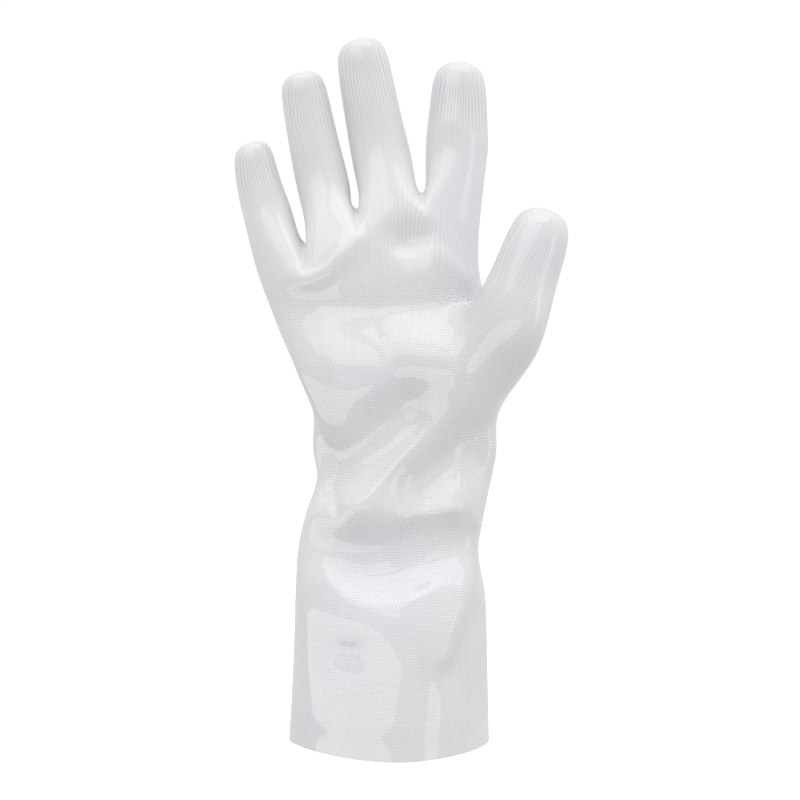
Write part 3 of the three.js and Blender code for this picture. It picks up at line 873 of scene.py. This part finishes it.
def linear_colour(code: str) -> tuple[float, float, float, float]:
    """Turns an sRGB hex colour to linear.

    Args:
        code: Six hex digits after a hash sign.

    Returns:
        Red, green, blue and an alpha of 1.
    """
    values = [int(code[start : start + 2], 16) / 255 for start in (1, 3, 5)]
    red, green, blue = (v / 12.92 if v <= 0.04045 else ((v + 0.055) / 1.055) ** 2.4 for v in values)
    return red, green, blue, 1.0


def add_node(
    tree: bpy.types.NodeTree, kind: str, inputs: dict, output: str | int = 0, **settings
) -> bpy.types.NodeSocket | None:
    """Adds a node with its settings and links.

    Args:
        tree: Node tree to add to.
        kind: Blender's name of the node's type, after "ShaderNode".
        inputs: Value or output socket for each input, by its name or number.
        output: Which of its outputs is wanted.
        **settings: Properties of the node.

    Returns:
        That output, or None for the last node of a tree.
    """
    node = tree.nodes.new("ShaderNode" + kind)
    for name, value in settings.items():
        setattr(node, name, value)
    for name, value in inputs.items():
        if isinstance(value, bpy.types.NodeSocket):
            tree.links.new(value, node.inputs[name])
        else:
            node.inputs[name].default_value = value
    return node.outputs[output] if node.outputs else None


def new_material(name: str) -> tuple[bpy.types.Material, bpy.types.NodeTree]:
    """Makes a material with an empty node tree.

    Args:
        name: Its name.

    Returns:
        The material and its tree.
    """
    material = bpy.data.materials.new(name)
    material.use_nodes = True
    material.node_tree.nodes.clear()
    return material, material.node_tree


@dataclass(frozen=True)
class KnitPattern:
    """Plain stocking stitch: columns of V-shaped stitches, drawn from the stitch counts in the UV map."""

    slant: float = 0.5  # how far the arms of a V climb, in rows
    split: float = 0.1  # how deep the knit is cut between the arms
    joined: float = 0.95  # how far the arms of one stitch run on into the next
    wander: float = 0.12  # how far the yarn wanders, in stitches
    wander_scale: float = 0.35  # how often it does, for each stitch
    groove: float = 0.2  # height between the columns where the knit is stretched
    ridge: float = 1.2  # how steeply the columns rise from there
    tight_from: float = 195  # row from which the fingers stretch the knit, so that its columns stand out
    tight_whole: float = 225
    tightest: float = 0.5  # share of the columns in the pattern of the fingers

    def tightness(self, tree: bpy.types.NodeTree) -> bpy.types.NodeSocket:
        """Adds how far the knit is stretched: 0 on the body, and tightest on the fingers.

        Args:
            tree: Node tree to add to.

        Returns:
            The socket.
        """
        counts = add_node(tree, "UVMap", {}, uv_map="stitches")
        row = add_node(tree, "SeparateXYZ", {0: counts}, "Y")
        limits = {"Value": row, 1: self.tight_from, 2: self.tight_whole, 4: self.tightest}
        return add_node(tree, "MapRange", limits, interpolation_type="SMOOTHSTEP")

    def height(self, tree: bpy.types.NodeTree) -> bpy.types.NodeSocket:
        """Adds the height of the yarn.

        Args:
            tree: Node tree to add to.

        Returns:
            A socket that runs from 0 between the yarns to 1 on their crests.
        """
        counts = add_node(tree, "UVMap", {}, uv_map="stitches")
        noise = {"Vector": counts, "Scale": self.wander_scale, "Detail": 1.0}
        moved = {0: add_node(tree, "TexNoise", noise, "Color"), 1: (self.wander, self.wander, 0), 2: counts}
        wandering = add_node(tree, "VectorMath", moved, operation="MULTIPLY_ADD")
        across = add_node(tree, "SeparateXYZ", {0: wandering})
        up = across.node.outputs["Y"]
        fold = add_node(tree, "Math", {0: across, 1: 0.5}, operation="PINGPONG")
        angle = add_node(tree, "Math", {0: fold, 1: 2 * math.pi}, operation="MULTIPLY")
        arm = add_node(tree, "Math", {0: angle}, operation="SINE")
        cut = add_node(tree, "Math", {0: arm, 1: self.split, 2: 1 - self.split}, operation="MULTIPLY_ADD")
        climb = add_node(tree, "Math", {0: fold, 1: -2 * self.slant, 2: up}, operation="MULTIPLY_ADD")
        phase = add_node(tree, "Math", {0: climb, 1: 2 * math.pi}, operation="MULTIPLY")
        turn = add_node(tree, "Math", {0: phase}, operation="COSINE")
        depth = add_node(tree, "Math", {0: arm, 1: -0.5 * self.joined, 2: 0.5}, operation="MULTIPLY_ADD")
        row = add_node(tree, "Math", {0: turn, 1: depth, 2: 0.5}, operation="MULTIPLY_ADD")
        column = add_node(tree, "Math", {0: fold, 1: self.ridge, 2: self.groove}, operation="MULTIPLY_ADD")
        loose = add_node(tree, "Math", {0: cut, 1: row}, operation="MULTIPLY")
        drawn = {"Factor": self.tightness(tree), "A": loose, "B": column}
        return add_node(tree, "Mix", drawn, "Result", data_type="FLOAT")


@dataclass(frozen=True)
class SiliconeRubber:
    """Milky silicone rubber, dipped over the knit: glossy, with the stitches faint beneath it."""

    milky: str = "#fcfbfb"  # over the crests of the yarn
    shaded: str = "#babbbe"  # over the gaps between the stitches
    cool: str = "#fcfdff"  # the dip is slightly uneven, so its white drifts from cool to warm
    warm: str = "#fffefd"
    drift_scale: float = 16.0  # how often it drifts in a metre
    drift_limits: tuple = (0.4, 0.6)
    cloud_scale: float = 30.0  # how often its tone is uneven in a metre, and by how much
    cloud_tone: float = 0.24
    streak_scale: tuple = (0.9, 0.04, 1)  # streaks of tone run along the columns of stitches
    streak_tone: float = 0.1
    body_roughness: float = 0.45
    body_specular: float = 0.25
    gloss_roughness: float = 0.04
    ior: float = 1.41  # silicone rubber
    print_through: float = 0.03  # height of the stitches under the gloss, in millimetres
    smooth_tone: float = 0.55  # tone where no stitches show, from shaded to milky: a little above the mean of the stitches, so the smooth fingertips and webs carry a faint painted highlight
    pattern: KnitPattern = KnitPattern()

    def tone(self, tree: bpy.types.NodeTree, place: bpy.types.NodeSocket) -> bpy.types.NodeSocket:
        """Adds how far the tone rises or falls over the glove, in clouds and in streaks.

        Args:
            tree: Node tree to add to.
            place: Place on the glove, in metres.

        Returns:
            The socket.
        """
        cloud = add_node(tree, "TexNoise", {"Vector": place, "Scale": self.cloud_scale, "Detail": 3.0})
        counts = add_node(tree, "UVMap", {}, uv_map="stitches")
        drawn_out = add_node(tree, "Mapping", {"Vector": counts, "Scale": self.streak_scale})
        streak = add_node(tree, "TexNoise", {"Vector": drawn_out, "Scale": 1.0, "Detail": 2.0})
        rises = []
        for noise, tone in ((cloud, self.cloud_tone), (streak, self.streak_tone)):
            centred = {0: noise, 1: tone, 2: -tone / 2}
            rises.append(add_node(tree, "Math", centred, operation="MULTIPLY_ADD"))
        return add_node(tree, "Math", dict(enumerate(rises)), operation="ADD")

    def tint(self, tree: bpy.types.NodeTree, place: bpy.types.NodeSocket) -> bpy.types.NodeSocket:
        """Adds the drift of the white from cool to warm.

        Args:
            tree: Node tree to add to.
            place: Place on the glove, in metres.

        Returns:
            The socket.
        """
        drift = add_node(tree, "TexNoise", {"Vector": place, "Scale": self.drift_scale, "Detail": 1.0})
        limits = {"Value": drift, 1: self.drift_limits[0], 2: self.drift_limits[1]}
        warmth = add_node(tree, "MapRange", limits, interpolation_type="SMOOTHSTEP")
        whites = {"Factor": warmth, "A": linear_colour(self.cool), "B": linear_colour(self.warm)}
        return add_node(tree, "Mix", whites, "Result", data_type="RGBA")

    def material(self) -> bpy.types.Material:
        """Makes the material: the dip leaves a smooth skin, so highlights are sharp over soft shading.

        Returns:
            The material.
        """
        made, tree = new_material("milky_silicone_rubber")
        stitch = self.pattern.height(tree)
        shown = add_node(tree, "Attribute", {}, "Fac", attribute_name="shown")
        place = add_node(tree, "TexCoord", {}, "Object")
        # Where the stitches fade, the tone moves to smooth_tone: the fingertips and webs are really
        # smoother, and their slightly lighter tone is a faint painted highlight
        above = add_node(tree, "Math", {0: stitch, 1: self.smooth_tone}, operation="SUBTRACT")
        yarn = add_node(tree, "Math", {0: above, 1: shown, 2: self.smooth_tone}, operation="MULTIPLY_ADD")
        blend = add_node(tree, "Math", {0: yarn, 1: self.tone(tree, place)}, operation="ADD")
        tones = {"Factor": blend, "A": linear_colour(self.shaded), "B": linear_colour(self.milky)}
        colour = add_node(tree, "Mix", tones, "Result", data_type="RGBA")
        tinting = {"Factor": 1.0, "A": colour, "B": self.tint(tree, place)}
        tinted = add_node(tree, "Mix", tinting, "Result", data_type="RGBA", blend_type="MULTIPLY")
        relief = {"Height": yarn, "Distance": self.print_through * MM}
        bump = add_node(tree, "Bump", {**relief, "Strength": 1.0})
        ribbed = add_node(tree, "Bump", {**relief, "Strength": self.pattern.tightness(tree)})
        inputs = {
            "Base Color": tinted,
            "Roughness": self.body_roughness,
            "IOR": self.ior,
            "Specular IOR Level": self.body_specular,
            "Coat Weight": 1.0,
            "Coat Roughness": self.gloss_roughness,
            "Coat IOR": self.ior,
            "Normal": bump,
            "Coat Normal": ribbed,
        }
        add_node(tree, "OutputMaterial", {"Surface": add_node(tree, "BsdfPrincipled", inputs)})
        return made


@dataclass(frozen=True)
class CottonKnit:
    """Unbleached white cotton yarn in plain stitch: matt and soft, with a deep relief."""

    yarn: str = "#f1efe9"
    gap: str = "#c9c6bf"
    roughness: float = 0.85
    sheen: float = 0.3  # light that its loose fibres catch
    relief: float = 0.4  # height of the yarn, in millimetres
    pattern: KnitPattern = KnitPattern()

    def material(self) -> bpy.types.Material:
        """Makes the material: loose fibres scatter light, so it shows no highlight, and gaps are darker.

        Returns:
            The material.
        """
        made, tree = new_material("white_cotton_knit")
        stitch = self.pattern.height(tree)
        tones = {"Factor": stitch, "A": linear_colour(self.gap), "B": linear_colour(self.yarn)}
        inputs = {
            "Base Color": add_node(tree, "Mix", tones, "Result", data_type="RGBA"),
            "Roughness": self.roughness,
            "Sheen Weight": self.sheen,
            "Normal": add_node(tree, "Bump", {"Height": stitch, "Distance": self.relief * MM}),
        }
        add_node(tree, "OutputMaterial", {"Surface": add_node(tree, "BsdfPrincipled", inputs)})
        return made


def mesh_object(
    name: str,
    places: np.ndarray,
    faces: list,
    material: bpy.types.Material,
    counts: np.ndarray | None = None,
    shown: np.ndarray | None = None,
) -> bpy.types.Object:
    """Makes a smooth Blender object from points in millimetres.

    Args:
        name: Name of the piece.
        places: Where the points are.
        faces: Points of each face.
        material: What it is made of.
        counts: Stitch counts at each corner of each face.
        shown: How clearly the stitches show at each point.

    Returns:
        The object, linked to the scene.
    """
    mesh = bpy.data.meshes.new(name)
    mesh.from_pydata((places * MM).tolist(), [], faces)
    mesh.polygons.foreach_set("use_smooth", [True] * len(mesh.polygons))
    if counts is not None:
        mesh.uv_layers.new(name="stitches").data.foreach_set("uv", counts.ravel())
    if shown is not None:
        mesh.attributes.new("shown", "FLOAT", "POINT").data.foreach_set("value", shown)
    mesh.materials.append(material)
    mesh.update()
    piece = bpy.data.objects.new(name, mesh)
    bpy.context.scene.collection.objects.link(piece)
    return piece


@dataclass
class Glove:
    """The glove: its outer coat and the knit inside it."""

    coat_steps: int = 4  # how often the cage is divided for the coat
    knit_steps: int = 3
    form: GloveForm = field(default_factory=GloveForm)
    press: FoldPress = field(default_factory=FoldPress)

    def surface(self, cage: Skin, steps: int) -> Skin:
        """Returns the folded surface after some steps of division.

        Args:
            cage: The fitted cage.
            steps: How often it is divided.

        Returns:
            The surface.
        """
        for _ in range(steps):
            cage = cage.subdivided()
        return self.press.press(cage.at_limit())

    def stitch_counts(self, skin: Skin) -> np.ndarray:
        """Counts the stitches at each corner of each face.

        Args:
            skin: The surface.

        Returns:
            Columns and rows of stitches from the middle of the rim.
        """
        values = skin.points[skin.corners]
        on_front = skin.on_front[skin.owner]
        across = np.where(on_front, values[:, Side.FRONT.value], values[:, Side.BACK.value])
        return np.stack([across / WALE, values[:, UP_KNIT] / COURSE], axis=1)

    def inwards(self, skin: Skin, depth: float) -> np.ndarray:
        """Moves the surface inwards, with its rim kept in the plane of the opening.

        Args:
            skin: The surface.
            depth: How far, in millimetres.

        Returns:
            The places of its points.
        """
        normals = skin.normals()
        on_rim, _ = skin.rim()
        normals[on_rim, 2] = 0
        normals /= np.linalg.norm(normals, axis=1, keepdims=True)
        return skin.places() - depth * normals

    def rim_edges(self, skin: Skin) -> np.ndarray:
        """Returns the points of each edge of the rim, in the order of the face beside it."""
        _, leaving, sides = skin.edges()
        open_corners = np.flatnonzero(sides[leaving] == 1)
        ahead = skin.following()[open_corners]
        return np.stack([skin.corners[open_corners], skin.corners[ahead]], axis=1)

    def build_coat(self, cage: Skin) -> bpy.types.Object:
        """Builds the coat: the outer surface and its cut edge at the rim.

        Args:
            cage: The fitted cage.

        Returns:
            The piece.
        """
        skin = self.surface(cage, self.coat_steps)
        inner = self.inwards(skin, COAT_WALL + 0.5 * CLEARANCE)
        edges = self.rim_edges(skin)
        on_rim = np.unique(edges)
        count = len(skin.points)
        number = np.full(count, -1)
        number[on_rim] = count + np.arange(len(on_rim))
        strip = np.stack([edges[:, 1], edges[:, 0], number[edges[:, 0]], number[edges[:, 1]]], axis=1)
        places = np.concatenate([skin.places(), inner[on_rim]])
        faces = np.concatenate([skin.quads(), strip])
        counts = np.concatenate([self.stitch_counts(skin), np.zeros((4 * len(strip), 2))])
        shown = np.concatenate([skin.points[:, SHOWN], np.zeros(len(on_rim))])
        piece = mesh_object("coat", places, faces.tolist(), SiliconeRubber().material(), counts, shown)
        sharp = piece.data.attributes.new("sharp_edge", "BOOLEAN", "EDGE")
        ends = np.empty(2 * len(piece.data.edges), dtype=np.int64)
        piece.data.edges.foreach_get("vertices", ends)
        sharp.data.foreach_set("value", np.isin(ends.reshape(-1, 2), on_rim).all(axis=1))
        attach(piece, "root")
        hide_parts("silicone_coat")
        return piece

    def build_knit(self, cage: Skin) -> bpy.types.Object:
        """Builds the knit: both sides of its wall, inside the coat, and the edge between them at the rim.

        Args:
            cage: The fitted cage.

        Returns:
            The piece.
        """
        skin = self.surface(cage, self.knit_steps)
        outer = self.inwards(skin, COAT_WALL + CLEARANCE)
        inner = self.inwards(skin, COAT_WALL + CLEARANCE + KNIT_WALL)
        count = len(skin.points)
        edges = self.rim_edges(skin)
        strip = np.stack([edges[:, 1], edges[:, 0], edges[:, 0] + count, edges[:, 1] + count], axis=1)
        quads = skin.quads()
        faces = np.concatenate([quads, quads[:, ::-1] + count, strip])
        counts = self.stitch_counts(skin)
        turned = counts.reshape(-1, 4, 2)[:, ::-1].reshape(-1, 2)
        by_point = np.zeros((count, 2))
        by_point[skin.corners] = counts
        on_strip = by_point[np.stack([edges[:, 1], edges[:, 0], edges[:, 0], edges[:, 1]], axis=1)]
        all_counts = np.concatenate([counts, turned, on_strip.reshape(-1, 2)])
        places = np.concatenate([outer, inner])
        piece = mesh_object("knit", places, faces.tolist(), CottonKnit().material(), all_counts)
        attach(piece, "root")
        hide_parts("knit_liner")
        return piece

    def build(self) -> list[bpy.types.Object]:
        """Builds both pieces.

        Returns:
            The pieces.
        """
        cage = self.form.build()
        return [self.build_coat(cage), self.build_knit(cage)]


@dataclass(frozen=True)
class WhitePaper:
    """A roll of white background paper: matt and very bright, so it shows as plain white."""

    colour: str = "#fafafa"
    roughness: float = 0.9
    glow: float = 0.5

    def material(self) -> bpy.types.Material:
        """Makes the material: a little light of its own stands for the lamps that wash the paper out.

        Returns:
            The material.
        """
        made, tree = new_material("white_background_paper")
        colour = linear_colour(self.colour)
        glow = {"Emission Color": colour, "Emission Strength": self.glow}
        inputs = {"Base Color": colour, "Roughness": self.roughness, **glow}
        add_node(tree, "OutputMaterial", {"Surface": add_node(tree, "BsdfPrincipled", inputs)})
        return made


@dataclass(frozen=True)
class Softbox:
    """A soft lamp that faces the glove, and shows in its gloss alone."""

    name: str
    azimuth: float  # where it stands round the glove, in degrees to the right of the camera
    elevation: float  # how far above the horizon, in degrees
    distance: float  # how far from the glove, in metres
    width: float
    height: float
    brightness: float  # radiance of its face, where 1 is white
    shape: str = "RECTANGLE"
    above: float = 0.0  # how far above the middle of the glove the place is that it faces, in metres

    def build(self, target: Vector) -> None:
        """Builds the lamp, which isn't seen itself.

        Args:
            target: The middle of the glove.
        """
        lamp = bpy.data.lights.new(self.name, "AREA")
        lamp.shape = self.shape
        lamp.size = self.width
        lamp.size_y = self.height
        lamp.energy = self.brightness * math.pi * self.width * self.height
        turn, rise = math.radians(self.azimuth), math.radians(self.elevation)
        level = math.cos(rise)
        away = Vector((level * math.sin(turn), -level * math.cos(turn), math.sin(rise)))
        holder = bpy.data.objects.new(self.name, lamp)
        holder.location = target + Vector((0, 0, self.above)) + away * self.distance
        holder.rotation_euler = (-away).to_track_quat("-Z", "Y").to_euler()
        holder.visible_camera = holder.visible_diffuse = False
        bpy.context.scene.collection.objects.link(holder)


@dataclass
class Studio:
    """The floor, the light and the camera."""

    floor_drop: float = 0.15  # how far the floor lies below the rim, in metres
    floor_radius: float = 4.0
    floor_sides: int = 96
    camera_place: tuple = (5.5, -640, 169.5)  # in millimetres, as are the lens and its sensor
    lens: float = 57.6
    sensor: float = 36.0
    clip: tuple = (0.01, 50)  # nearest and farthest that the camera sees, in metres
    backdrop: float = 1.05  # brightness of the background as the camera sees it
    around: float = 0.9  # brightness of the light from the front, level with the glove
    slope: tuple = (0.07, 0.0, 0.62)  # how much brighter it is from the right and from above
    lowest: float = 0.75  # and its least, from below, where pale ground throws light back
    behind: float = 0.8  # brightness of the light from behind
    behind_from: float = 0.05  # how far a direction points backwards where that light begins
    behind_whole: float = 0.8
    softboxes: tuple = (
        Softbox("key", -50, -12, 0.4, 0.95, 0.24, 1.5, shape="ELLIPSE", above=-0.12),
        Softbox("window", -26, 27, 1.3, 1.2, 0.6, 1.6),
        Softbox("side", 54, -8, 1.4, 0.4, 1.0, 1.8),
        Softbox("overhead", 0, 60, 1.3, 1.6, 0.7, 2.0),
    )

    def build_floor(self) -> None:
        """Builds the floor, a round sheet of paper."""
        turns = np.linspace(0, 2 * math.pi, self.floor_sides, endpoint=False)
        height = np.full(self.floor_sides, -self.floor_drop)
        radius = self.floor_radius
        places = np.stack([radius * np.cos(turns), radius * np.sin(turns), height], axis=1)
        floor = mesh_object("floor", places / MM, [list(range(self.floor_sides))], WhitePaper().material())
        floor.visible_diffuse = floor.visible_glossy = False

    def build_world(self) -> None:
        """Builds the light from all round: brightest from above, and dimmer from behind and below."""
        world = bpy.data.worlds.new("studio")
        world.use_nodes = True
        tree = world.node_tree
        tree.nodes.clear()
        towards = add_node(tree, "TexCoord", {}, "Generated")
        lean = add_node(tree, "VectorMath", {0: towards, 1: self.slope}, "Value", operation="DOT_PRODUCT")
        leant = add_node(tree, "Math", {0: lean, 1: self.around}, operation="ADD")
        front = add_node(tree, "Math", {0: leant, 1: self.lowest}, operation="MAXIMUM")
        back = add_node(tree, "SeparateXYZ", {0: towards}, "Y")
        limits = {"Value": back, 1: self.behind_from, 2: self.behind_whole}
        depth = add_node(tree, "MapRange", limits, interpolation_type="SMOOTHSTEP")
        levels = {"Factor": depth, "A": front, "B": self.behind}
        seen = add_node(tree, "LightPath", {}, "Is Camera Ray")
        shades = {"Factor": seen, "A": add_node(tree, "Mix", levels, data_type="FLOAT"), "B": self.backdrop}
        strength = add_node(tree, "Mix", shades, data_type="FLOAT")
        light = add_node(tree, "Background", {"Color": (1, 1, 1, 1), "Strength": strength})
        add_node(tree, "OutputWorld", {"Surface": light})
        bpy.context.scene.world = world

    def build_camera(self) -> None:
        """Builds the camera, level and straight in front of the palm."""
        camera = bpy.data.objects.new("camera", bpy.data.cameras.new("camera"))
        camera.data.lens = self.lens
        camera.data.sensor_width = self.sensor
        camera.data.clip_start, camera.data.clip_end = self.clip
        camera.location = Vector(self.camera_place) * MM
        camera.rotation_euler = (math.radians(90), 0, 0)
        bpy.context.scene.collection.objects.link(camera)
        bpy.context.scene.camera = camera

    def build(self) -> None:
        """Builds the floor, the light and the camera, and shows colours as they are."""
        self.build_camera()
        self.build_floor()
        self.build_world()
        low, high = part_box("silicone_coat")
        middle = (Vector(low) + Vector(high)) / 2
        for softbox in self.softboxes:
            softbox.build(middle)
        bpy.context.scene.view_settings.view_transform = "Standard"


def main() -> None:
    """Builds the studio and the glove, and reports each piece."""
    logging.basicConfig(level=logging.INFO, format="%(message)s")
    Studio().build()
    for piece in Glove().build():
        size = piece.dimensions / MM
        log.info("%s: %d faces, %.0f x %.0f x %.0f mm", piece.name, len(piece.data.polygons), *size)


if __name__ == "__main__":
    main()
